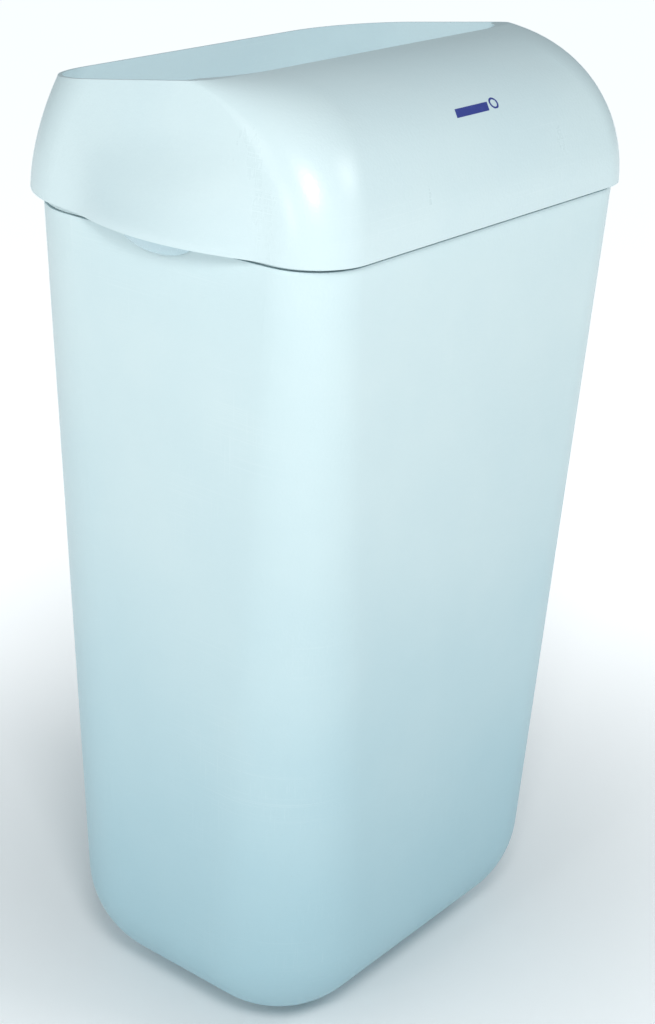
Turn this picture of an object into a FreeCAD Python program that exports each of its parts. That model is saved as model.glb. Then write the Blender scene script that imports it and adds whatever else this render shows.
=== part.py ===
import FreeCAD, Part
import math
import os
import Sketcher

# A wall-hung washroom waste bin: a tapered container, a lift-out bag ring on its rim, and an
# open-topped domed hood that lifts off.  Millimetres.  +Z is up, -Y is the front, and the
# origin is the middle of the base's box.  The wall that the bin hangs on is the plane
# y = overall_depth / 2.

# Each size is a number, or a formula that ties it to sizes above it.
SIZES = [
    # the whole bin
    ("overall_height", 735.0, "floor to the front edge of the hood's opening"),
    ("overall_depth", 294.0, "hood, front to back"),
    ("hood_width", 373.0, "hood at its lower edge, without the side bulges"),
    # from the container's back to the wall
    ("hanger_sheet", 1.0, "steel of the hanger plate"),
    ("bracket_sheet", 1.5, "steel of the wall bracket"),
    ("slide_gap", 0.3, "between the sliding faces of bracket and hanger"),
    ("boss_face", "=overall_depth / 2 - 2 * bracket_sheet - hanger_sheet - 3 * slide_gap",
     "hanger's seat on the container, behind the origin"),
    # container
    ("shoulder_z", "=overall_height - 106", "top of the tapered wall, where the ring's band sits"),
    ("rim_z", "=shoulder_z + 11", "top of the container's rim"),
    ("shoulder_width", "=hood_width - 4.6", "container at the shoulder"),
    ("shoulder_front", "=overall_depth / 2 - 5", "container's front at the shoulder, ahead of the origin"),
    ("shoulder_back", "=boss_face + 0.2", "container's back at the shoulder, behind the origin"),
    ("shoulder_front_corner", 42.0, "plan radius"),
    ("shoulder_back_corner", 64.0, "plan radius"),
    ("base_width", "=hood_width - 31", "container carried down to the floor"),
    ("base_front", "=overall_depth / 2 - 24", "ahead of the origin"),
    ("base_back", "=boss_face - 9.1", "behind the origin"),
    ("base_corner", 83.0, "plan radius of all four corners at the floor"),
    ("base_round", 80.0, "radius between the walls and the floor"),
    ("body_wall", 3.0, "moulded wall"),
    ("rim_step", 4.0, "how far the rim is set in from the shoulder"),
    ("shoulder_thickness", 5.0, "shelf that carries the rim"),
    # bag ring
    ("band_step", 1.5, "ring's band, set in from the shoulder"),
    ("band_thickness", 2.0, "outer band and inner skirt of the ring"),
    ("band_lift", 0.8, "band's lower edge above the shoulder"),
    ("ring_plate", 2.8, "thickness of the ring's top plate"),
    ("ring_rest", 0.3, "ring's plate above the rim"),
    ("ring_skirt_drop", 40.0, "inner skirt below the rim"),
    ("bag_space", 1.0, "room for the bag's film between rim and inner skirt"),
    # pods of the ring, with the release latches below them
    ("pod_reach", 11.0, "how far a pod stands out from the shoulder"),
    ("pod_half_length", 38.5, "along the side"),
    ("pod_half_height", 19.0, "above and below its centre"),
    ("pod_z", "=shoulder_z + 9", "centre height"),
    ("pod_forward", 5.5, "centre, ahead of the origin"),
    ("pod_wall", 2.0, "wall of the hollow pod"),
    ("latch_gap", 0.4, "pod's lower edge to the latch"),
    ("latch_travel", 3.0, "room between a latch and the container"),
    ("latch_stem_width", 26.0, "flexing stem of a latch"),
    ("latch_stem_thickness", 2.4, "flexing stem of a latch"),
    # hood
    ("hood_edge_z", "=shoulder_z + 3", "lower edge of the hood"),
    ("hood_wall", 2.8, "moulded wall"),
    ("dome_base_z", "=hood_edge_z - 4", "where the dome's curve would start"),
    ("dome_depth", 105.0, "front face to the opening's front edge"),
    ("dome_power", 2.4, "2 is an ellipse, more is squarer"),
    ("side_narrowing", 13.5, "each side, lower edge to the top"),
    ("side_power", 1.7, "how late the sides curve in"),
    ("back_lean", 20.0, "back wall, lower edge to the top"),
    ("back_power", 1.8, "how late the back curves in"),
    ("opening_back_z", "=overall_height - 24", "opening's edge at the back"),
    ("edge_rise", 9.5, "how far the lower edge sweeps up, sides to back"),
    ("edge_rise_start", 40.0, "where that sweep starts, behind the origin"),
    ("hood_front_corner", 42.0, "plan radius at the lower edge"),
    ("opening_front_corner", 55.0, "plan radius at the opening"),
    ("hood_back_corner", 53.0, "plan radius at the lower edge"),
    ("opening_back_corner", 72.0, "plan radius at the opening"),
    ("bulge_reach", 14.3, "side bulge at the lower edge"),
    ("bulge_forward", 14.0, "centre of the bulge, ahead of the origin"),
    ("bulge_half_length", 82.0, "along the side"),
    ("bulge_height", 65.0, "above the hood's lower edge"),
    ("rib_width", 4.0, "ribs inside the hood that rest on the ring"),
    ("rib_height", 16.0, "same ribs"),
    ("rib_reach", 7.0, "same ribs, inwards from the hood's wall"),
    ("rest_gap", 0.3, "between pieces that rest on each other"),
    # hanging parts on the back
    ("boss_half_width", 68.0, "flat pad moulded on the container's back"),
    ("boss_low_z", "=shoulder_z - 91", "same pad"),
    ("boss_high_z", "=shoulder_z - 17", "same pad"),
    ("hanger_low_z", "=boss_low_z + 22", "hanger plate"),
    ("hanger_high_z", "=boss_high_z - 12", "hanger plate"),
    ("pocket_half_width", 33.0, "raised middle of the hanger plate, inside"),
    ("flange_width", 26.0, "each flange of the hanger plate"),
    ("rivet_diameter", 4.8, "blind rivets"),
    ("rivet_head", 9.0, "head diameter"),
    ("rivet_play", 0.05, "radial room round a rivet or stem"),
    ("bracket_half_width", 92.0, "wall bracket"),
    ("bracket_low_z", "=boss_low_z + 2", "wall bracket"),
    ("bracket_high_z", "=boss_high_z - 4", "wall bracket"),
    ("tongue_half_width", 30.0, "tongue that the bin hangs on"),
    ("screw_hole", 5.5, "wall screw holes, diameter"),
    ("screw_spacing_x", 156.0, "wall screw holes"),
    ("screw_spacing_z", 40.0, "wall screw holes"),
    # rubber buffers
    ("buffer_diameter", 26.0, "rubber buffer against the wall"),
    ("buffer_z", 122.0, "centre height"),
    ("buffer_spacing", "=base_width - 2 * base_corner - 6", "left to right"),
    ("buffer_boss", 1.2, "moulded seat, proud of the container"),
    ("buffer_stem", 8.0, "stem through the wall"),
]

doc = FreeCAD.newDocument("waste_bin")
sheet = doc.addObject("Spreadsheet::Sheet", "dims")
for row, (alias, value, note) in enumerate(SIZES, start=1):
    sheet.set(f"A{row}", note)
    sheet.set(f"B{row}", str(value))
    sheet.setAlias(f"B{row}", alias)
doc.recompute()

subparts = []


def number(expression):
    """The value of an expression on the sheet's cells, as a plain number."""
    return float(sheet.evalExpression(expression))


def size(alias):
    return number(f"dims.{alias}")


def keep(piece, label):
    """Name a finished sub-part; its label names its file."""
    piece.Label = label
    subparts.append(piece)
    return piece


# ---------------------------------------------------------------- sketches

def new_body(name):
    return doc.addObject("PartDesign::Body", name)


def plane(body, role):
    return next(item for item in body.Origin.OriginFeatures if item.Role == role)


def new_sketch(body, name, role="XY_Plane", offset="0"):
    """A sketch on one of the body's own origin planes, lifted along the plane's normal."""
    sketch = body.newObject("Sketcher::SketchObject", name)
    sketch.AttachmentSupport = [(plane(body, role), "")]
    sketch.MapMode = "FlatFace"
    sketch.setExpression("AttachmentOffset.Base.z", offset)
    return sketch


def bind(sketch, kind, places, expression):
    """A dimension of the sketch that follows an expression."""
    index = sketch.addConstraint(Sketcher.Constraint(kind, *places, number(expression)))
    sketch.setExpression(f"Constraints[{index}]", expression)


def rounded_outline(sketch, outline):
    """Four straight sides joined by tangent arcs, the same left and right.

    outline gives expressions for the half width, the reach to the front (-Y) and to the
    back (+Y), and the plan radii of the front and back corners."""
    half, front, back, near, far = (number(item) for item in outline)
    corners = [
        (half - near, near - front, near, -90),
        (half - far, back - far, far, 0),
        (far - half, back - far, far, 90),
        (near - half, near - front, near, 180),
    ]
    arcs = []
    for x, y, radius, start in corners:
        circle = Part.Circle(FreeCAD.Vector(x, y, 0), FreeCAD.Vector(0, 0, 1), radius)
        first, last = math.radians(start), math.radians(start + 90)
        arcs.append(sketch.addGeometry(Part.ArcOfCircle(circle, first, last), False))
    lines = []
    for this, following in zip(arcs, arcs[1:] + arcs[:1]):
        start = sketch.getPoint(this, 2)
        end = sketch.getPoint(following, 1)
        lines.append(sketch.addGeometry(Part.LineSegment(start, end), False))
    for this, line, following in zip(arcs, lines, arcs[1:] + arcs[:1]):
        sketch.addConstraint(Sketcher.Constraint("Tangent", this, 2, line, 1))
        sketch.addConstraint(Sketcher.Constraint("Tangent", line, 2, following, 1))
    right, rear, left, face = lines
    sketch.addConstraint(Sketcher.Constraint("Vertical", right))
    sketch.addConstraint(Sketcher.Constraint("Horizontal", rear))
    sketch.addConstraint(Sketcher.Constraint("Vertical", left))
    sketch.addConstraint(Sketcher.Constraint("Horizontal", face))
    sketch.addConstraint(Sketcher.Constraint("Equal", arcs[0], arcs[3]))
    sketch.addConstraint(Sketcher.Constraint("Equal", arcs[1], arcs[2]))
    bind(sketch, "Radius", (arcs[0],), outline[3])
    bind(sketch, "Radius", (arcs[1],), outline[4])
    bind(sketch, "DistanceX", (-1, 1, right, 1), outline[0])
    bind(sketch, "DistanceX", (left, 1, -1, 1), outline[0])
    bind(sketch, "DistanceY", (face, 1, -1, 1), outline[1])
    bind(sketch, "DistanceY", (-1, 1, rear, 1), outline[2])


def inset(outline, amount):
    """The same outline, moved inwards by an amount given as an expression."""
    return tuple(f"({item}) - ({amount})" for item in outline)


def polygon(sketch, corners):
    """A closed outline of straight edges; each corner is a pair of expressions."""
    points = [FreeCAD.Vector(number(x), number(y), 0) for x, y in corners]
    edges = []
    for start, end in zip(points, points[1:] + points[:1]):
        edges.append(sketch.addGeometry(Part.LineSegment(start, end), False))
    for this, following in zip(edges, edges[1:] + edges[:1]):
        sketch.addConstraint(Sketcher.Constraint("Coincident", this, 2, following, 1))
    for edge, corner in zip(edges, corners):
        for kind, expression in zip(("DistanceX", "DistanceY"), corner):
            index = sketch.addConstraint(
                Sketcher.Constraint(kind, -1, 1, edge, 1, number(expression)))
            sketch.setExpression(f"Constraints[{index}]", expression)


def circle(sketch, x, y, radius):
    """A circle whose centre and radius are expressions."""
    centre = FreeCAD.Vector(number(x), number(y), 0)
    index = sketch.addGeometry(Part.Circle(centre, FreeCAD.Vector(0, 0, 1), number(radius)), False)
    bind(sketch, "Radius", (index,), radius)
    bind(sketch, "DistanceX", (-1, 1, index, 3), x)
    bind(sketch, "DistanceY", (-1, 1, index, 3), y)


def pad(body, name, sketch, length, reverse=False, midplane=False):
    feature = body.newObject("PartDesign::Pad", name)
    feature.Profile = sketch
    feature.setExpression("Length", length)
    feature.Reversed = reverse
    feature.Midplane = midplane
    doc.recompute()
    return feature


def pocket(body, name, sketch, length, reverse=False, midplane=False):
    """Cut a sketch's outline away, and make sure that the cut met the solid."""
    before = body.Shape.Volume
    feature = body.newObject("PartDesign::Pocket", name)
    feature.Profile = sketch
    feature.setExpression("Length", length)
    feature.Reversed = reverse
    feature.Midplane = midplane
    doc.recompute()
    if body.Shape.Volume >= before - 1e-6:
        raise ValueError(f"{name} cut nothing")
    return feature


def loft(body, name, sketches, cut=False, ruled=True):
    kind = "PartDesign::SubtractiveLoft" if cut else "PartDesign::AdditiveLoft"
    feature = body.newObject(kind, name)
    feature.Profile = sketches[0]
    feature.Sections = sketches[1:]
    feature.Ruled = ruled
    doc.recompute()
    return feature


# ---------------------------------------------------------------- container

SHOULDER = ("dims.shoulder_width / 2", "dims.shoulder_front", "dims.shoulder_back",
            "dims.shoulder_front_corner", "dims.shoulder_back_corner")
BASE = ("dims.base_width / 2", "dims.base_front", "dims.base_back",
        "dims.base_corner", "dims.base_corner")


def container_outline(height):
    """The container's tapered outside at a height, given as an expression."""
    return tuple(f"{low} + ({high} - {low}) * ({height}) / dims.shoulder_z"
                 for low, high in zip(BASE, SHOULDER))


# Where the flat seats for the hanging parts stand, behind the origin.
BOSS_FACE = "dims.boss_face"
BUFFER_FACE = f"({container_outline('dims.buffer_z')[2]} + dims.buffer_boss)"


def rivet_places():
    """X and Z of the four rivets, in the middle of the hanger plate's flanges."""
    out = "(dims.pocket_half_width + dims.hanger_sheet + dims.flange_width / 2)"
    low, high = "dims.hanger_low_z", "dims.hanger_high_z"
    return [(f"{side} * {out}", f"{low} + ({high} - {low}) * {share}")
            for side in (-1, 1) for share in (0.25, 0.75)]


ROUNDING_ANGLES = (90, 75, 60, 45, 30, 15, 0)


def rounded_base_sketches(body, name, floor, radius, wall):
    """Outlines up the rounding between the floor and the walls, one for each angle."""
    sketches = []
    for angle in ROUNDING_ANGLES:
        height = f"{floor} + ({radius}) * (1 - sin({angle}deg))"
        shrink = f"{wall} + ({radius}) * (1 - cos({angle}deg))"
        sketch = new_sketch(body, f"{name}_{angle}", offset=height)
        rounded_outline(sketch, inset(container_outline(height), shrink))
        sketches.append(sketch)
    return sketches


def make_bin_body():
    """Tapered container with a rounded base, a shoulder and a set-in rim."""
    body = new_body("bin_body")
    outer = rounded_base_sketches(body, "base_outline", "0", "dims.base_round", "0")
    loft(body, "rounded_base", outer, ruled=False)
    shoulder = new_sketch(body, "shoulder_outline", offset="dims.shoulder_z")
    rounded_outline(shoulder, SHOULDER)
    loft(body, "tapered_walls", [outer[-1], shoulder])

    rim = new_sketch(body, "rim_outline", offset="dims.shoulder_z")
    rounded_outline(rim, inset(SHOULDER, "dims.rim_step"))
    pad(body, "rim", rim, "dims.rim_z - dims.shoulder_z")

    seat = new_sketch(body, "hanger_pad_outline", "XZ_Plane", f"-({BOSS_FACE})")
    side = "dims.boss_half_width"
    polygon(seat, [(f"-{side}", "dims.boss_low_z"), (side, "dims.boss_low_z"),
                   (side, "dims.boss_high_z"), (f"-{side}", "dims.boss_high_z")])
    pad(body, "hanger_pad", seat, "dims.body_wall")

    for side in (-1, 1):
        place = f"{side} * dims.buffer_spacing / 2"
        seat = new_sketch(body, f"buffer_seat_{side}", "XZ_Plane", f"-({BUFFER_FACE})")
        circle(seat, place, "dims.buffer_z", "dims.buffer_diameter / 2 + 2")
        pad(body, f"buffer_seat_pad_{side}", seat, "dims.body_wall")

    floor = "(dims.body_wall + 0.5)"
    inner = rounded_base_sketches(
        body, "inner_base", floor, "dims.base_round - dims.body_wall", "dims.body_wall")
    loft(body, "rounded_cavity", inner, cut=True, ruled=False)
    shelf = "dims.shoulder_z - dims.shoulder_thickness"
    ledge = new_sketch(body, "inner_shelf_outline", offset=shelf)
    rounded_outline(ledge, inset(container_outline(shelf), "dims.body_wall"))
    loft(body, "cavity", [inner[-1], ledge], cut=True)

    mouth = new_sketch(body, "mouth_outline", offset="dims.rim_z")
    rounded_outline(mouth, inset(SHOULDER, "dims.rim_step + dims.body_wall"))
    pocket(body, "mouth", mouth, "dims.rim_z - (dims.shoulder_z - dims.shoulder_thickness)")

    holes = new_sketch(body, "rivet_holes_outline", "XZ_Plane", f"-({BOSS_FACE})")
    for x, z in rivet_places():
        circle(holes, x, z, "dims.rivet_diameter / 2 + dims.rivet_play")
    pocket(body, "rivet_holes", holes, "3 * dims.body_wall", reverse=True)
    holes = new_sketch(body, "buffer_holes_outline", "XZ_Plane", f"-({BUFFER_FACE})")
    for side in (-1, 1):
        circle(holes, f"{side} * dims.buffer_spacing / 2", "dims.buffer_z",
               "dims.buffer_stem / 2 + dims.rivet_play")
    pocket(body, "buffer_holes", holes, "3 * dims.body_wall", reverse=True)
    return body


# ---------------------------------------------------------------- bag ring

BAND = inset(SHOULDER, "dims.band_step")
BAND_LOW = "dims.shoulder_z + dims.band_lift"
PLATE_LOW = "dims.rim_z + dims.ring_rest"
PLATE_HIGH = "dims.rim_z + dims.ring_rest + dims.ring_plate"
SKIRT = inset(SHOULDER, "dims.rim_step + dims.body_wall + dims.bag_space")


def make_bag_ring():
    """Upside-down channel over the container's rim, with an inner skirt for the bag."""
    body = new_body("ring_channel")
    high = new_sketch(body, "plate_outline", offset=BAND_LOW)
    rounded_outline(high, BAND)
    pad(body, "band_and_plate", high, f"{PLATE_HIGH} - ({BAND_LOW})")
    skirt = new_sketch(body, "skirt_outline", offset=BAND_LOW)
    rounded_outline(skirt, SKIRT)
    drop = f"{BAND_LOW} - (dims.rim_z - dims.ring_skirt_drop)"
    pad(body, "inner_skirt", skirt, drop, reverse=True)
    channel = new_sketch(body, "channel_outline", offset=PLATE_LOW)
    rounded_outline(channel, inset(BAND, "dims.band_thickness"))
    rounded_outline(channel, SKIRT)
    pocket(body, "channel", channel, f"{PLATE_LOW} - ({BAND_LOW})")
    mouth = new_sketch(body, "mouth_outline", offset=PLATE_HIGH)
    rounded_outline(mouth, inset(SKIRT, "dims.band_thickness"))
    pocket(body, "mouth", mouth, f"{PLATE_HIGH} - (dims.rim_z - dims.ring_skirt_drop)")
    return body


def ellipsoid(name, side, shrink):
    """A pod's outside, or with a shrink its hollow; side is -1 on the left."""
    piece = doc.addObject("Part::Ellipsoid", name)
    piece.Angle1 = -90
    piece.Angle2 = 90
    piece.setExpression("Radius1", f"dims.pod_half_height - ({shrink})")
    piece.setExpression("Radius2", f"dims.pod_reach - ({shrink})")
    piece.setExpression("Radius3", f"dims.pod_half_length - ({shrink})")
    piece.setExpression("Placement.Base.x", f"{side} * dims.shoulder_width / 2")
    piece.setExpression("Placement.Base.y", "-dims.pod_forward")
    piece.setExpression("Placement.Base.z", "dims.pod_z")
    return piece


def block(name, low, high):
    """A box between two corners given as expressions."""
    piece = doc.addObject("Part::Box", name)
    for letter, length, start, end in zip("xyz", ("Length", "Width", "Height"), low, high):
        piece.setExpression(length, f"({end}) - ({start})")
        piece.setExpression(f"Placement.Base.{letter}", start)
    return piece


def span(side, near, far):
    """X limits from near to far on one side of the bin, in rising order."""
    return (near, far) if side > 0 else (f"-({far})", f"-({near})")


def combine(kind, name, *pieces):
    feature = doc.addObject(f"Part::{kind}", name)
    if kind == "Cut":
        feature.Base, feature.Tool = pieces
    else:
        feature.Shapes = list(pieces)
    doc.recompute()
    return feature


def make_pod(side):
    """The hollow swelling of the ring's band, above one latch."""
    band_half = f"({BAND[0]})"
    inside = f"{band_half} - dims.band_thickness / 2"
    low, high = span(side, inside, f"{band_half} + dims.pod_reach + 10")
    slab = block(f"pod_slab_{side}", (low, "-100", BAND_LOW), (high, "100", PLATE_HIGH))
    shell = combine("MultiCommon", f"pod_shell_{side}", ellipsoid(f"pod_{side}", side, "0"), slab)
    low, high = span(side, band_half, f"{band_half} + dims.pod_reach + 10")
    room = block(f"pod_room_slab_{side}", (low, "-100", f"{BAND_LOW} - 1"), (high, "100", PLATE_LOW))
    hollow = combine("MultiCommon", f"pod_hollow_{side}",
                     ellipsoid(f"pod_inside_{side}", side, "dims.pod_wall"), room)
    return combine("Cut", f"pod_piece_{side}", shell, hollow)


def make_latch(side):
    """The crescent below a pod and the flexing stem that it hangs from."""
    face = "dims.shoulder_width / 2 + dims.latch_travel"
    top = f"{BAND_LOW} - dims.latch_gap"
    low, high = span(side, face, f"{face} + dims.pod_reach")
    slab = block(f"crescent_slab_{side}", (low, "-100", "dims.pod_z - dims.pod_half_height - 5"),
                 (high, "100", top))
    crescent = combine("MultiCommon", f"crescent_{side}",
                       ellipsoid(f"crescent_round_{side}", side, "0"), slab)
    low, high = span(side, face, f"{face} + dims.latch_stem_thickness")
    half = "dims.latch_stem_width / 2"
    stem = block(f"stem_{side}", (low, f"-dims.pod_forward - {half}", f"{top} - 2"),
                 (high, f"-dims.pod_forward + {half}", f"{PLATE_LOW} - dims.rest_gap"))
    return combine("MultiFuse", f"latch_{side}", crescent, stem)


# ---------------------------------------------------------------- hood

DOME_STEPS = 12
TOOL_MARGIN = 20.0


def bulge_at(y, z):
    """How far the side bulges out at a place on it."""
    along = (y + size("bulge_forward")) / size("bulge_half_length")
    up = (z - size("hood_edge_z")) / size("bulge_height")
    if abs(along) >= 1 or up >= 1:
        return 0.0
    rise = math.cos(math.radians(90 * max(up, 0)))
    return size("bulge_reach") * (1 - along ** 2) ** 1.1 * rise ** 1.5


SIDE_FRACTIONS = (0, 0.03, 0.07, 0.14, 0.21, 0.28, 0.37, 0.46, 0.55, 0.64, 0.72, 0.79, 0.86, 0.93, 0.97, 1)


def hood_wire(z, half, front, back, near, far):
    """The hood's closed outline at one height; front is negative."""
    up = FreeCAD.Vector(0, 0, 1)

    def point(x, y):
        return FreeCAD.Vector(x, y, z)

    def corner(x, y, radius, start):
        circle_ = Part.Circle(point(x, y), up, radius)
        return Part.Arc(circle_, math.radians(start), math.radians(start + 90)).toShape()

    def side_curve(side):
        low, high = front + near, back - far
        poles = []
        for fraction in SIDE_FRACTIONS:
            y = low + (high - low) * fraction
            swell = bulge_at(y, z) if fraction not in (0, 0.03, 0.97, 1) else 0.0
            poles.append(point(side * (half + swell), y))
        if side < 0:
            poles.reverse()
        curve = Part.BSplineCurve()
        knots = [0, 0, 0] + list(range(len(poles) - 2)) + [len(poles) - 3] * 3
        values = sorted(set(knots))
        curve.buildFromPolesMultsKnots(
            poles, [knots.count(value) for value in values], values, False, 3)
        return curve.toShape()

    return Part.Wire([
        Part.LineSegment(point(near - half, front), point(half - near, front)).toShape(),
        corner(half - near, front + near, near, -90),
        side_curve(1),
        corner(half - far, back - far, far, 0),
        Part.LineSegment(point(half - far, back), point(far - half, back)).toShape(),
        corner(far - half, back - far, far, 90),
        side_curve(-1),
        corner(near - half, front + near, near, 180),
    ])


def hood_wires(wall):
    """Outlines up the hood's outside, or up its inside when wall is its thickness."""
    base, top = size("dome_base_z"), size("overall_height") - wall
    depth, power = size("dome_depth") - wall, size("dome_power")
    half_depth = size("overall_depth") / 2
    edge, height = size("hood_edge_z"), size("overall_height")
    wires = []
    for step in range(DOME_STEPS + 1):
        angle = math.radians(90 * step / DOME_STEPS)
        z = base + (top - base) * math.sin(angle) ** (2 / power)
        set_back = depth * (1 - max(math.cos(angle), 0) ** (2 / power))
        share = min(max((z - edge) / (height - edge), 0), 1)
        half = size("hood_width") / 2 - wall - size("side_narrowing") * share ** size("side_power")
        back = half_depth - wall - size("back_lean") * share ** size("back_power")
        near_rise = size("opening_front_corner") - size("hood_front_corner")
        near = size("hood_front_corner") - wall + near_rise * share ** 2
        far_rise = size("opening_back_corner") - size("hood_back_corner")
        far = size("hood_back_corner") - wall + far_rise * share ** 2
        wires.append(hood_wire(z, half, wall - half_depth + set_back, back, near, far))
    return wires


def hood_skin(wall):
    return Part.makeLoft(hood_wires(wall), True, False)


def across(edges):
    """A solid right across the hood, from the edges of its outline at the left."""
    wide = size("hood_width") / 2 + size("bulge_reach") + TOOL_MARGIN
    face = Part.Face(Part.Wire(edges))
    face.translate(FreeCAD.Vector(-wide, 0, 0))
    return face.extrude(FreeCAD.Vector(2 * wide, 0, 0))


def straight(*places):
    """Edges from place to place, each given by its y and z."""
    corners = [FreeCAD.Vector(0, y, z) for y, z in places]
    return Part.makePolygon(corners).Edges


def below_the_edge():
    """What lies under the hood's lower edge, which sweeps up towards the back."""
    edge = size("hood_edge_z")
    far_y = size("overall_depth") / 2 + TOOL_MARGIN
    start = size("edge_rise_start")
    run, rise = size("overall_depth") / 2 - start, size("edge_rise")
    radius = (run ** 2 + rise ** 2) / (2 * rise)

    def sweep(y):
        return edge + radius - math.sqrt(radius ** 2 - (y - start) ** 2)

    middle = (start + far_y) / 2
    arc = Part.Arc(*(FreeCAD.Vector(0, y, sweep(y)) for y in (far_y, middle, start)))
    low = edge - TOOL_MARGIN
    return across([
        *straight((start, edge), (-far_y, edge), (-far_y, low), (far_y, low), (far_y, sweep(far_y))),
        arc.toShape()])


def above_the_opening():
    """What lies over the slope from the opening's front edge down to its back edge."""
    height = size("overall_height")
    lip_y = size("dome_depth") - size("overall_depth") / 2
    back_y = size("overall_depth") / 2
    far_y = back_y + TOOL_MARGIN
    fall = (height - size("opening_back_z")) / (back_y - lip_y)
    return across(straight(
        (lip_y, height), (far_y, height - fall * (far_y - lip_y)),
        (far_y, height + TOOL_MARGIN), (lip_y, height + TOOL_MARGIN), (lip_y, height)))


def make_hood():
    """Domed cover, open at the top and below, that stands on the ring by inner ribs."""
    wall = size("hood_wall")
    half_depth = size("overall_depth") / 2
    half = size("hood_width") / 2
    mouth = Part.Face(hood_wires(wall)[-1]).extrude(FreeCAD.Vector(0, 0, TOOL_MARGIN))
    mouth.translate(FreeCAD.Vector(0, 0, -wall / 4))
    solid = hood_skin(0.0).cut(below_the_edge()).cut(above_the_opening())
    shell = solid.cut(hood_skin(wall)).cut(mouth)

    rest = number(PLATE_HIGH) + size("rest_gap")
    reach, width, tall = size("rib_reach"), size("rib_width"), size("rib_height")
    ribs = []
    for x in (-half / 2, half / 2):
        ribs.append(Part.makeBox(width, reach + wall, tall,
                                 FreeCAD.Vector(x - width / 2, -half_depth, rest)))
        ribs.append(Part.makeBox(width, reach + wall, tall,
                                 FreeCAD.Vector(x - width / 2, half_depth - reach - wall, rest)))
    core = hood_skin(wall / 2)
    for rib in ribs:
        shell = shell.fuse(rib.common(core))
    hood = doc.addObject("Part::Feature", "hood")
    hood.Shape = shell.removeSplitter()
    return hood


# ---------------------------------------------------------------- hanging parts

def make_hanger_plate():
    """Riveted plate whose raised middle, closed at the top, drops over the bracket's tongue."""
    body = new_body("hanger_plate")
    sheet_y, gap = "dims.hanger_sheet", "dims.slide_gap"
    raised = f"({BOSS_FACE} + 2 * {gap} + dims.bracket_sheet)"
    inner, outer = "dims.pocket_half_width", "(dims.pocket_half_width + dims.hanger_sheet)"
    tip = "(dims.pocket_half_width + dims.hanger_sheet + dims.flange_width)"
    section = new_sketch(body, "hat_section", offset="dims.hanger_low_z")
    polygon(section, [
        (f"-{tip}", BOSS_FACE), (f"-{inner}", BOSS_FACE), (f"-{inner}", raised),
        (inner, raised), (inner, BOSS_FACE), (tip, BOSS_FACE),
        (tip, f"{BOSS_FACE} + {sheet_y}"), (outer, f"{BOSS_FACE} + {sheet_y}"),
        (outer, f"{raised} + {sheet_y}"), (f"-{outer}", f"{raised} + {sheet_y}"),
        (f"-{outer}", f"{BOSS_FACE} + {sheet_y}"), (f"-{tip}", f"{BOSS_FACE} + {sheet_y}")])
    pad(body, "hat", section, "dims.hanger_high_z - dims.hanger_low_z")
    closure = new_sketch(body, "top_closure_outline", offset="dims.hanger_high_z")
    polygon(closure, [(f"-{outer}", BOSS_FACE), (outer, BOSS_FACE),
                      (outer, f"{raised} + {sheet_y}"), (f"-{outer}", f"{raised} + {sheet_y}")])
    pad(body, "top_closure", closure, sheet_y, reverse=True)
    holes = new_sketch(body, "rivet_holes_outline", "XZ_Plane", f"-({BOSS_FACE})")
    for x, z in rivet_places():
        circle(holes, x, z, "dims.rivet_diameter / 2 + dims.rivet_play")
    pocket(body, "rivet_holes", holes, "2 * dims.hanger_sheet")
    return body


def turned(name, x, z, profile):
    """A round piece about a line along Y through x, z; profile is corners of reach and y."""
    body = new_body(name)
    sketch = new_sketch(body, f"{name}_profile", "XY_Plane", z)
    polygon(sketch, [(f"{x} + {reach}", y) for reach, y in profile])
    axis = sketch.addGeometry(Part.LineSegment(
        FreeCAD.Vector(number(x), 0, 0), FreeCAD.Vector(number(x), 10, 0)), True)
    sketch.addConstraint(Sketcher.Constraint("Vertical", axis))
    sketch.addConstraint(Sketcher.Constraint("DistanceY", axis, 1, axis, 2, 10))
    index = sketch.addConstraint(Sketcher.Constraint("DistanceX", -1, 1, axis, 1, number(x)))
    sketch.setExpression(f"Constraints[{index}]", x)
    sketch.addConstraint(Sketcher.Constraint("DistanceY", -1, 1, axis, 1, 0))
    turn = body.newObject("PartDesign::Revolution", f"{name}_turn")
    turn.Profile = sketch
    turn.ReferenceAxis = (sketch, ["Axis0"])
    turn.Angle = 360
    doc.recompute()
    return body


def make_hanger_rivets():
    """Four blind rivets through the flanges and the container's wall, as one group."""
    head_y = f"{BOSS_FACE} + dims.hanger_sheet"
    inside_y = f"{BOSS_FACE} - dims.body_wall - 2.2"
    shank, head = "dims.rivet_diameter / 2", "dims.rivet_head / 2"
    bodies = []
    for index, (x, z) in enumerate(rivet_places(), start=1):
        bodies.append(turned(f"rivet_{index}", x, z, [
            ("0", f"{inside_y} - 1.5"), (f"{head} - 1.2", f"{inside_y} - 1.5"),
            (f"{head} - 0.6", inside_y), (shank, inside_y), (shank, head_y),
            (head, head_y), (f"{head} - 1", f"{head_y} + 0.9"), ("0", f"{head_y} + 0.9")]))
    group = doc.addObject("Part::Compound", "hanger_rivets")
    group.Links = bodies
    doc.recompute()
    return group


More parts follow.
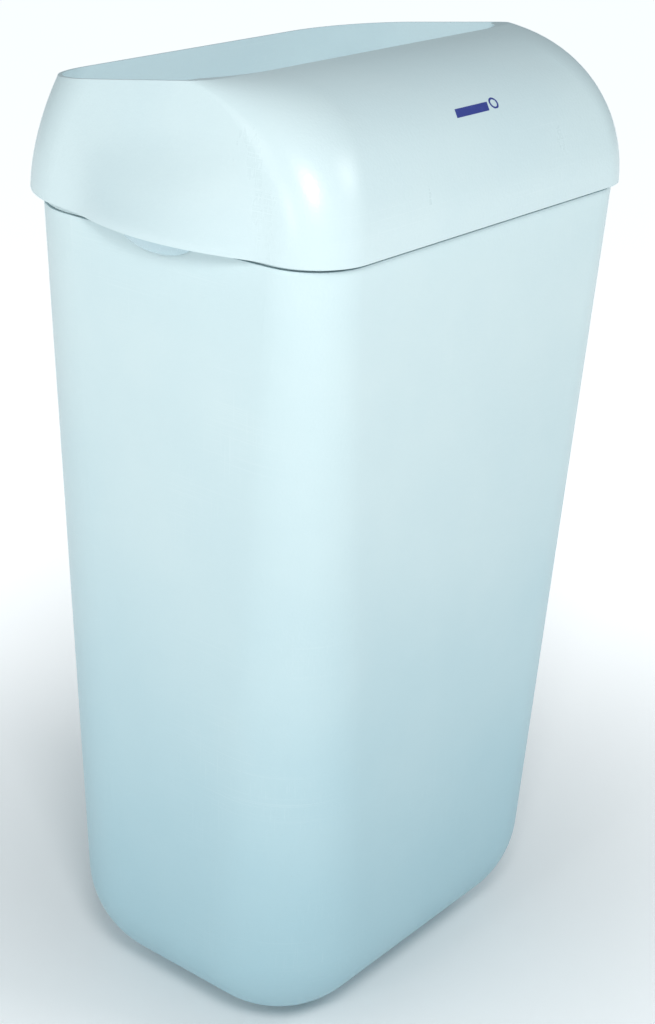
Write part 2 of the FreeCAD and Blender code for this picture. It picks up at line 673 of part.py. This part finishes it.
def make_buffer(label, side):
    """Rubber buffer plugged into the container, with its pad against the wall."""
    wall_y, seat_y = "dims.overall_depth / 2", BUFFER_FACE
    inside_y = f"{BUFFER_FACE} - dims.buffer_boss - dims.body_wall - 1.5"
    pad_r, stem = "dims.buffer_diameter / 2", "dims.buffer_stem / 2"
    return turned(label, f"{side} * dims.buffer_spacing / 2", "dims.buffer_z", [
        ("0", f"{inside_y} - 5"), (f"{stem} - 1.5", f"{inside_y} - 5"),
        (f"{stem} + 1.4", f"{inside_y} - 1"), (f"{stem} + 1.4", inside_y), (stem, inside_y),
        (stem, seat_y), (pad_r, seat_y), (pad_r, f"{wall_y} - 1.5"),
        (f"{pad_r} - 1.5", wall_y), ("0", wall_y)])


def make_wall_bracket():
    """Steel plate screwed to the wall, with an upward tongue that stands off its face."""
    body = new_body("wall_bracket")
    wall_y, sheet_y = "dims.overall_depth / 2", "dims.bracket_sheet"
    side, tongue = "dims.bracket_half_width", "dims.tongue_half_width"
    plate = new_sketch(body, "plate_outline", "XZ_Plane", f"-({wall_y})")
    polygon(plate, [(f"-{side}", "dims.bracket_low_z"), (side, "dims.bracket_low_z"),
                    (side, "dims.bracket_high_z"), (f"-{side}", "dims.bracket_high_z")])
    pad(body, "plate", plate, sheet_y)
    neck_high = "dims.hanger_low_z - dims.bracket_sheet"
    neck = new_sketch(body, "neck_outline", offset=neck_high)
    tongue_y = f"({BOSS_FACE} + dims.slide_gap)"
    polygon(neck, [(f"-{tongue}", tongue_y), (tongue, tongue_y),
                   (tongue, f"{wall_y} - {sheet_y}"), (f"-{tongue}", f"{wall_y} - {sheet_y}")])
    pad(body, "neck", neck, sheet_y, reverse=True)
    face = new_sketch(body, "tongue_outline", "XZ_Plane", f"-({tongue_y} + {sheet_y})")
    tip = "dims.hanger_high_z - dims.hanger_sheet - dims.rest_gap"
    polygon(face, [(f"-{tongue}", f"{neck_high} - {sheet_y}"), (tongue, f"{neck_high} - {sheet_y}"),
                   (tongue, f"{tip} - 8"), (f"{tongue} - 8", tip),
                   (f"8 - {tongue}", tip), (f"-{tongue}", f"{tip} - 8")])
    pad(body, "tongue", face, sheet_y)
    holes = new_sketch(body, "screw_holes_outline", "XZ_Plane", f"-({wall_y})")
    middle = "(dims.bracket_low_z + dims.bracket_high_z) / 2"
    for x in (-1, 1):
        for z in (-1, 1):
            circle(holes, f"{x} * dims.screw_spacing_x / 2", f"{middle} + {z} * dims.screw_spacing_z / 2",
                   "dims.screw_hole / 2")
    pocket(body, "screw_holes", holes, sheet_y, reverse=True)
    return body


# ---------------------------------------------------------------- the whole bin

keep(make_bin_body(), "bin_body")
ring = make_bag_ring()
ring = combine("MultiFuse", "ring_with_pods", ring, make_pod(-1), make_pod(1))
keep(ring, "bag_ring")
keep(make_latch(-1), "left_latch")
keep(make_latch(1), "right_latch")
keep(make_hood(), "hood")
keep(make_hanger_plate(), "hanger_plate")
keep(make_hanger_rivets(), "hanger_rivets")
keep(make_wall_bracket(), "wall_bracket")
keep(make_buffer("left_buffer_plug", -1), "left_buffer")
keep(make_buffer("right_buffer_plug", 1), "right_buffer")

doc.recompute()
for item in doc.Objects:
    if "Invalid" in item.State or "Error" in item.State:
        raise ValueError(f"{item.Name} failed: {item.State}")
os.makedirs("parts", exist_ok=True)
for piece in subparts:
    shape = piece.Shape
    if shape.isNull() or not shape.isValid():
        raise ValueError(f"{piece.Label} has no valid shape")
    shape.exportStep(f"parts/{piece.Label}.step")
    box = shape.optimalBoundingBox(False, False)
    print(f"{piece.Label:14s} {len(shape.Solids)} solids {shape.Volume / 1000:9.2f} cm3  "
          f"x {box.XMin:.1f}..{box.XMax:.1f}  y {box.YMin:.1f}..{box.YMax:.1f}  "
          f"z {box.ZMin:.1f}..{box.ZMax:.1f}")
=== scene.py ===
# %% [markdown]
# # A wall-hung waste bin
# The real object is a tall moulded bin for a washroom: a tapered container with a big rounded
# base, a bag ring on its rim, and a domed hood that is open at the top and lifts off.  The
# engineering model already holds every hard piece at its true size, so this lesson is about
# light, camera and above all surface: how smooth injection-moulded plastic really looks, with
# its faint orange peel, its cool tint, and the scuffs and dust that a bin collects.

# %% Load the frame
import math

import bpy
from mathutils import Matrix, Vector


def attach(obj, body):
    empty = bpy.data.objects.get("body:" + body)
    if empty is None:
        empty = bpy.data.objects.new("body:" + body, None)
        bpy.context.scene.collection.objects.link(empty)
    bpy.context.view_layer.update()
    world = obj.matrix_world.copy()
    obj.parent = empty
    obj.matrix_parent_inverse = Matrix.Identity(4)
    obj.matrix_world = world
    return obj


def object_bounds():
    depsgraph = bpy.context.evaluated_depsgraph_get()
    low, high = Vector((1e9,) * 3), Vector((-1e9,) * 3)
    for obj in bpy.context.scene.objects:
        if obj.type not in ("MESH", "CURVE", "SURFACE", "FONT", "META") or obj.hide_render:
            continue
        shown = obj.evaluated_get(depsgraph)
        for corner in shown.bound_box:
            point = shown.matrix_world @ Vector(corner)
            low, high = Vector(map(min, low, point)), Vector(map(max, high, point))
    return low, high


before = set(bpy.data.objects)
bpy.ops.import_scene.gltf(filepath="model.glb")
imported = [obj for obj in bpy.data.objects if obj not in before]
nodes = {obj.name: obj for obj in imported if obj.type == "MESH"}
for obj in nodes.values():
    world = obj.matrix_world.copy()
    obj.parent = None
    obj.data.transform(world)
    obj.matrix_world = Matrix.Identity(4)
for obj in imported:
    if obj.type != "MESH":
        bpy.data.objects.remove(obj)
CAD_LOW, CAD_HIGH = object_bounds()
scene = bpy.context.scene
print("CAD box", [round(v, 4) for v in CAD_LOW], [round(v, 4) for v in CAD_HIGH])

# %% [markdown]
# ## Camera
# A product view: the camera looks down a little on the bin from its front left, from about a
# metre and a half, so the near edge leans and the walls converge downwards.  It is placed by two
# angles and a distance round the middle of the bin, and tilted a touch about its own axis.

# %% Camera
AZIMUTH, ELEVATION, ROLL = math.radians(-51.34), math.radians(23.4), math.radians(1.8)
DISTANCE = 1.4955
AIM_RIGHT, AIM_UP = -0.0053, -0.0063
SENSOR = 36.0
FOCAL_LENGTH = 67.6


def place_camera():
    """A camera round the bin's middle, from its azimuth, elevation and distance."""
    middle = Vector((0, 0, CAD_HIGH[2] / 2))
    back = Vector((math.sin(AZIMUTH) * math.cos(ELEVATION),
                   -math.cos(AZIMUTH) * math.cos(ELEVATION), math.sin(ELEVATION)))
    right = Vector((0, 0, 1)).cross(back).normalized()
    up = back.cross(right)
    tilted_right = right * math.cos(ROLL) + up * math.sin(ROLL)
    tilted_up = up * math.cos(ROLL) - right * math.sin(ROLL)
    place = middle + back * DISTANCE - tilted_right * AIM_RIGHT - tilted_up * AIM_UP
    turn = Matrix((tilted_right, tilted_up, back)).transposed().to_4x4()
    data = bpy.data.cameras.new("camera")
    data.sensor_width = SENSOR
    data.lens = FOCAL_LENGTH
    camera = bpy.data.objects.new("camera", data)
    camera.matrix_world = Matrix.Translation(place) @ turn
    scene.collection.objects.link(camera)
    scene.camera = camera
    return camera


camera = place_camera()
print("camera at", [round(v, 3) for v in camera.matrix_world.translation])

# %% [markdown]
# ## Studio
# White plastic has almost no colour of its own, so its shape only shows in the slow change from
# lit to less lit.  The key, a square lamp a third of a metre wide, hangs just above the camera,
# near enough to the bin for its light to fade down the walls.  A wider lamp lights the left edge
# from behind, another fills the front, and a small one level with the hood brightens its left
# side.  A dim, cool sky does the rest.

# %% World
world = bpy.data.worlds.new("studio")
world.use_nodes = True
sky = world.node_tree.nodes["Background"]
sky.inputs["Color"].default_value = (0.76, 0.91, 0.98, 1)
sky.inputs["Strength"].default_value = 0.34
scene.world = world
scene.view_settings.view_transform = "Standard"
print("sky strength", sky.inputs["Strength"].default_value)

# %% Lamps
CHEST = (0, 0, 0.50)


def make_lamp(name, place, aim, width, power):
    """A square soft lamp at a place, turned to shine at another."""
    data = bpy.data.lights.new(name, "AREA")
    data.shape = "SQUARE"
    data.size = width
    data.energy = power
    lamp = bpy.data.objects.new(name, data)
    lamp.location = place
    lamp.rotation_mode = "QUATERNION"
    lamp.rotation_quaternion = (Vector(aim) - Vector(place)).to_track_quat("-Z", "Y")
    scene.collection.objects.link(lamp)


make_lamp("key", (-0.92, -0.84, 1.34), CHEST, 0.34, 9.4)
make_lamp("left_edge", (-1.5, 0.4, 1.3), CHEST, 0.8, 3.4)
make_lamp("front_fill", (0.50, -1.40, 1.65), (0, 0, 0.6), 0.6, 6.8)
make_lamp("glint", (-1.50, -0.16, 0.86), (-0.19, -0.07, 0.67), 0.16, 1.7)

# %% [markdown]
# ## Shader arithmetic
# A material is a graph of small sums.  Wrapping an output socket in a class with the usual
# operators lets each finish be written as a formula, and it still makes ordinary nodes.

# %% The Wire class
class Wire:
    """An output socket of a shader node, used like a number."""

    def __init__(self, socket):
        self.socket = socket

    def node(self, kind, inputs, output=0, **settings):
        """Any node of the same material; inputs take wires, numbers or colours."""
        made = self.socket.id_data.nodes.new(kind)
        for name, value in settings.items():
            setattr(made, name, value)
        for key, value in inputs.items():
            if isinstance(value, Wire):
                made.id_data.links.new(value.socket, made.inputs[key])
            else:
                made.inputs[key].default_value = value
        return Wire(made.outputs[output])

    def maths(self, operation, other):
        return self.node("ShaderNodeMath", {0: self, 1: other}, operation=operation)

    def __add__(self, other):
        return self.maths("ADD", other)

    def __radd__(self, other):
        return self.maths("ADD", other)

    def __sub__(self, other):
        return self.maths("SUBTRACT", other)

    def __rsub__(self, other):
        return self.node("ShaderNodeMath", {0: other, 1: self}, operation="SUBTRACT")

    def __mul__(self, other):
        return self.maths("MULTIPLY", other)

    def between(self, low, high):
        """0 below low, 1 above high, and a smooth change in between."""
        return self.node("ShaderNodeMapRange", {0: self, 1: low, 2: high, 3: 0.0, 4: 1.0},
                         interpolation_type="SMOOTHSTEP")

    def noise(self, scale, detail=3.0, rough=0.5):
        """Cloudy values near a half; self is a place, scale is spots to the metre."""
        inputs = {"Vector": self, "Scale": scale, "Detail": detail, "Roughness": rough}
        return self.node("ShaderNodeTexNoise", inputs, "Fac")

    def stretched(self, scale):
        """The place with each axis drawn out, for streaks and scratches."""
        return self.node("ShaderNodeMapping", {"Vector": self, "Scale": scale})

    def tint(self, first, second):
        """A colour that goes from the first to the second as this value goes from 0 to 1."""
        inputs = {0: self, 6: first, 7: second}
        return self.node("ShaderNodeMix", inputs, 2, data_type="RGBA")


# %% Starting a material
def new_finish(name, **constants):
    """A material, its shader and the piece's own coordinates; constants set shader sockets."""
    material = bpy.data.materials.new(name)
    material.use_nodes = True
    material.cycles.emission_sampling = "NONE"
    shader = material.node_tree.nodes["Principled BSDF"]
    for key, value in constants.items():
        shader.inputs[key.replace("_", " ")].default_value = value
    coordinates = material.node_tree.nodes.new("ShaderNodeTexCoord")
    return material, shader, Wire(coordinates.outputs["Object"]), Wire(coordinates.outputs["Normal"])


def feed(shader, **wires):
    """Connect wires to the shader's sockets by name."""
    for key, wire in wires.items():
        socket = shader.inputs[key.replace("_", " ")]
        shader.id_data.links.new(wire.socket, socket)


def axis(wire, letter):
    return wire.node("ShaderNodeSeparateXYZ", {0: wire}, letter)


def bumps(height, distance, strength=1.0, under=None):
    inputs = {"Height": height, "Distance": distance, "Strength": strength}
    if under is not None:
        inputs["Normal"] = under
    return height.node("ShaderNodeBump", inputs, "Normal")


def rgb(red, green, blue):
    return (red, green, blue, 1.0)


def coat(material, *names):
    """Give CAD nodes or new pieces a material in all their slots."""
    for name in names:
        piece = nodes[name] if name in nodes else bpy.data.objects[name]
        piece.data.materials.clear()
        piece.data.materials.append(material)
    print(material.name, "on", ", ".join(names))


# %% [markdown]
# ## Floor
# A flat sheet of pale paper.  The sheet is painted with light of its own that grows away from
# the bin, so it brightens into the distance and ends almost white.

# %% Floor
FLOOR_HALF = 8.0
FLOOR_GAP = 0.0008           # the sheet lies this far under the bin
GLOW_FROM, GLOW_TO = 0.02, 0.95  # metres from the bin's middle
GLOW_FULL = 0.70

bpy.ops.object.select_all(action="DESELECT")
bpy.ops.mesh.primitive_plane_add(size=2 * FLOOR_HALF, location=(0, 0, -FLOOR_GAP))
floor = bpy.context.object
floor.name = "floor"
paper, shader, place, _ = new_finish("floor_paper", Roughness=0.85, Specular_IOR_Level=0.2)
# Painted light: the paper gives off more light the farther it lies from the bin.
away = place.node("ShaderNodeVectorMath", {0: place}, "Value", operation="LENGTH")
painted_floor_light = away.between(GLOW_FROM, GLOW_TO) * GLOW_FULL
feed(shader, Base_Color=place.noise(3.0).tint(rgb(0.94, 0.94, 0.94), rgb(0.96, 0.96, 0.96)),
     Emission_Color=painted_floor_light.tint(rgb(0, 0, 0), rgb(1, 1, 1)),
     Normal=bumps(place.noise(900.0), 0.00006))
shader.inputs["Emission Strength"].default_value = 1.0
floor.data.materials.append(paper)
print("floor", FLOOR_HALF * 2, "m square")

# %% [markdown]
# ## Moulded plastic
# Smooth polypropylene is never a flat colour.  Close up the skin has orange peel, a shallow
# pebbling two or three millimetres across.  Broad walls sink and swell a little as they cool.
# The gloss is cloudy where hands and cloths have been, fine hairline scratches cross it, and
# dust settles on whatever faces up.  Faces turned inwards are painted with a faint light of their
# own, which stands in for daylight crossing the thin wall, so the inside of the bin is never
# dark.  Each of these is one term in the formula, at its own scale.
#
# One term is painted shade, not wear: the container turns darker and cooler towards the
# floor, over most of its height.  That painted shade is in its colour, so it shows from every side
# and under any lamp.  A few specks of floor dirt go with it.

# %% Plastic finish
PEEL_SPOTS = 420.0          # to the metre
# Painted light: the colour that the inward faces of the wall give off.
PAINTED_WALL_LIGHT = (0.10, 0.12, 0.13)
HAIRLINES = (9.0, 9.0, 1300.0)
CROSS_HAIRLINES = (1100.0, 1100.0, 18.0)
ROUGHEST = 0.85
# The next two set the painted shade, darker and cooler towards the floor: where it is full, and its
# tint.
COOL_FROM = 0.04            # the fall of tone is complete below this height
PAINTED_SHADE_TINT = (0.46, 0.74, 0.86)


def plastic(name, colour, shade, gloss, cool_below, dust):
    """Pale moulded plastic with painted shade, darker and cooler under the height cool_below; dust
    is 0 to 1.
    """
    material, shader, place, normal = new_finish(name, IOR=1.47)
    clouds = place.noise(7.0, 4.0, 0.55)
    smears = place.stretched((14.0, 14.0, 5.0)).noise(1.0, 5.0, 0.6)
    patches = place.noise(11.0, 1.0).between(0.45, 0.75)
    level = place.stretched(HAIRLINES).noise(1.0, 0.0).between(0.60, 0.85)
    upright = place.stretched(CROSS_HAIRLINES).noise(1.0, 0.0).between(0.62, 0.88)
    scratches = level.maths("MAXIMUM", upright) * patches
    height = axis(place, "Z")
    # Painted shade mask: 1 near the floor, 0 above cool_below; it also places the floor-dirt specks.
    low = 1.0 - (height + place.noise(9.0) * 0.10).between(COOL_FROM, cool_below)
    specks = place.noise(1500.0, 1.0).between(0.70, 0.76)
    settled = axis(normal, "Z").between(0.45, 0.95) * place.noise(26.0, 5.0, 0.65) * dust

    tone = clouds.between(0.3, 0.7).tint(rgb(*colour), rgb(*shade))
    cooler = rgb(*(part * tint for part, tint in zip(shade, PAINTED_SHADE_TINT)))
    # Painted shade: the tone turns darker and cooler towards the floor.
    tone = (low * 0.6).tint(tone, cooler)
    tone = (scratches * 0.10).tint(tone, rgb(0.86, 0.92, 0.93))
    tone = (settled * 0.5).tint(tone, rgb(0.60, 0.66, 0.68))
    tone = (specks * (low * 0.5 + settled) * 0.6).tint(tone, rgb(0.32, 0.34, 0.34))
    rough = (gloss + (clouds - 0.5) * 0.10 + (smears - 0.5) * 0.24 + scratches * 0.16
             + settled * 0.30 + low * 0.12)

    # Painted light: faces turned inwards give off a faint light, for daylight crossing the thin
    # wall.
    outward = normal.node("ShaderNodeVectorMath", {0: normal, 1: place}, "Value",
                          operation="DOT_PRODUCT") - axis(normal, "Z") * height
    painted_inner_light = (outward * -1.0).between(0.0, 0.06) * (0.85 + clouds * 0.3)

    sink = bumps(place.noise(5.0, 1.0), 0.0012, 0.35)
    peel = bumps(place.noise(PEEL_SPOTS, 2.0), 0.00022, 0.55, sink)
    feed(shader, Base_Color=tone, Roughness=rough.maths("MINIMUM", ROUGHEST),
         Normal=bumps(1.0 - scratches, 0.00002, 0.4, peel),
         Emission_Color=painted_inner_light.tint(rgb(0, 0, 0), rgb(*PAINTED_WALL_LIGHT)))
    shader.inputs["Emission Strength"].default_value = 1.0
    return material


CONTAINER_WHITE = (0.60, 0.722, 0.738), (0.57, 0.700, 0.722)
HOOD_WHITE = (0.62, 0.735, 0.750), (0.59, 0.712, 0.735)
# Painted shade: the latches are the white plastic made darker and bluer, for the shade under the
# hood's bulges.
LATCH_SHADED_WHITE = (0.52, 0.66, 0.70), (0.48, 0.63, 0.68)

coat(plastic("container_plastic", *CONTAINER_WHITE, gloss=0.37, cool_below=0.62, dust=0.5),
     "bin_body")
coat(plastic("hood_plastic", *HOOD_WHITE, gloss=0.31, cool_below=0.10, dust=0.4), "hood")
coat(plastic("ring_plastic", *HOOD_WHITE, gloss=0.34, cool_below=0.10, dust=0.7), "bag_ring")
coat(plastic("latch_plastic", *LATCH_SHADED_WHITE, gloss=0.24, cool_below=0.10, dust=0.2),
     "left_latch", "right_latch")

# %% [markdown]
# ## Metal and rubber on the back
# The hanger and the wall bracket are bright zinc-plated sheet: metal with a faint crystal
# mottle, brush lines from the rolling mill, and dull bloom.  Rivets are softer aluminium, and
# the buffers are black rubber that has gone grey with dust.

# %% Zinc-plated steel
def zinc_plate():
    material, shader, place, _ = new_finish("zinc_steel", Metallic=1.0)
    crystals = place.node("ShaderNodeTexVoronoi", {"Vector": place, "Scale": 230.0}, "Color")
    mottle = axis(crystals, "X")
    rolled = place.stretched((40.0, 40.0, 2600.0)).noise(1.0, 3.0)
    bloom = place.noise(34.0, 5.0, 0.6).between(0.52, 0.74)
    tone = mottle.tint(rgb(0.60, 0.62, 0.64), rgb(0.72, 0.73, 0.73))
    tone = (bloom * 0.6).tint(tone, rgb(0.50, 0.51, 0.50))
    rough = 0.24 + mottle * 0.10 + rolled * 0.12 + bloom * 0.28
    ridges = bumps(rolled, 0.00004, 0.5)
    feed(shader, Base_Color=tone, Roughness=rough, Normal=bumps(mottle, 0.00002, 0.4, ridges))
    return material


coat(zinc_plate(), "hanger_plate", "wall_bracket")

# %% Rivet aluminium
def rivet_metal():
    material, shader, place, _ = new_finish("rivet_aluminium", Metallic=1.0)
    dents = place.noise(700.0, 3.0)
    stain = place.noise(160.0, 4.0).between(0.5, 0.75)
    feed(shader, Base_Color=stain.tint(rgb(0.80, 0.81, 0.82), rgb(0.52, 0.52, 0.51)),
         Roughness=0.28 + dents * 0.14 + stain * 0.25, Normal=bumps(dents, 0.00006, 0.5))
    return material


coat(rivet_metal(), "hanger_rivets")

# %% Buffer rubber
def buffer_rubber():
    material, shader, place, _ = new_finish("buffer_rubber", IOR=1.5, Specular_IOR_Level=0.35)
    pores = place.noise(1400.0, 3.0)
    chalk = place.noise(90.0, 5.0, 0.65).between(0.46, 0.72)
    feed(shader, Base_Color=chalk.tint(rgb(0.022, 0.023, 0.025), rgb(0.085, 0.088, 0.09)),
         Roughness=0.62 + pores * 0.14 + chalk * 0.16, Normal=bumps(pores, 0.00012, 0.6))
    return material


coat(buffer_rubber(), "left_buffer", "right_buffer")

# %% [markdown]
# ## The printed mark
# A maker prints a small dark-blue sign on the front of the dome.  Here it is a plain one, a slanted
# bar with a ring beside it.  Ink is a film on a curved skin, so each shape starts flat just
# outside the dome, is drawn down onto the skin by Shrinkwrap, and is given the thickness of ink.

# %% Laying print on the dome
INK_FILM = 0.00012
MARK_PLACE = Vector((-0.004, -0.1255, 0.708))
MARK_TILT = math.radians(47)


def start_print(name):
    """The new flat shape, named and ready in edit mode."""
    piece = bpy.context.object
    piece.name = name
    bpy.ops.object.transform_apply(location=True, rotation=True, scale=True)
    bpy.ops.object.mode_set(mode="EDIT")
    return piece


def finish_print(piece):
    bpy.ops.object.mode_set(mode="OBJECT")
    wrap = piece.modifiers.new("lie_on_dome", "SHRINKWRAP")
    wrap.target = nodes["hood"]
    wrap.wrap_method = "NEAREST_SURFACEPOINT"
    wrap.offset = INK_FILM / 4
    film = piece.modifiers.new("ink_film", "SOLIDIFY")
    film.thickness = INK_FILM
    film.offset = 1.0
    for modifier in (wrap.name, film.name):
        bpy.ops.object.modifier_apply(modifier=modifier)
    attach(piece, "cover")
    print(piece.name, len(piece.data.polygons), "faces")


# %% Slanted bar
BAR_LENGTH, BAR_HEIGHT = 0.042, 0.0068
END_CUT = 0.44 * BAR_LENGTH  # from the bar's middle to each slanted end
END_SLANT = 0.25

bpy.ops.object.select_all(action="DESELECT")
bpy.ops.mesh.primitive_grid_add(x_subdivisions=30, y_subdivisions=6, size=1,
                                location=MARK_PLACE, rotation=(MARK_TILT, 0, 0))
bpy.context.object.scale = (BAR_LENGTH, BAR_HEIGHT, 1)
bar = start_print("mark_bar")
for end in (-1, 1):
    bpy.ops.mesh.select_all(action="SELECT")
    bpy.ops.mesh.bisect(plane_co=MARK_PLACE + Vector((end * END_CUT, 0, 0)),
                        plane_no=(end, -end * END_SLANT, -end * END_SLANT), clear_outer=True)
finish_print(bar)

# %% Ring
RING_RADIUS, RING_LINE = 0.0046, 0.0015
RING_SIDES = 48
RING_PLACE = MARK_PLACE + Vector((0.62 * BAR_LENGTH, 0.001, 0.001))

bpy.ops.object.select_all(action="DESELECT")
bpy.ops.mesh.primitive_circle_add(vertices=RING_SIDES, radius=RING_RADIUS, fill_type="NGON",
                                  location=RING_PLACE, rotation=(MARK_TILT, 0, 0))
ring = start_print("mark_ring")
bpy.ops.mesh.select_all(action="SELECT")
bpy.ops.mesh.inset(thickness=RING_LINE)
bpy.ops.mesh.delete(type="FACE")
finish_print(ring)

# %% Ink
def mark_ink():
    """Pad-printed ink: nearly even, with pinholes and a slightly uneven gloss."""
    material, shader, place, _ = new_finish("mark_ink")
    pinholes = place.noise(2600.0, 2.0).between(0.70, 0.76)
    worn = place.noise(240.0, 4.0, 0.6)
    tone = worn.tint(rgb(0.020, 0.030, 0.21), rgb(0.035, 0.055, 0.29))
    feed(shader, Base_Color=(pinholes * 0.5).tint(tone, rgb(0.45, 0.52, 0.60)),
         Roughness=0.30 + worn * 0.18, Normal=bumps(worn, 0.00003, 0.5))
    return material


coat(mark_ink(), "mark_bar", "mark_ring")
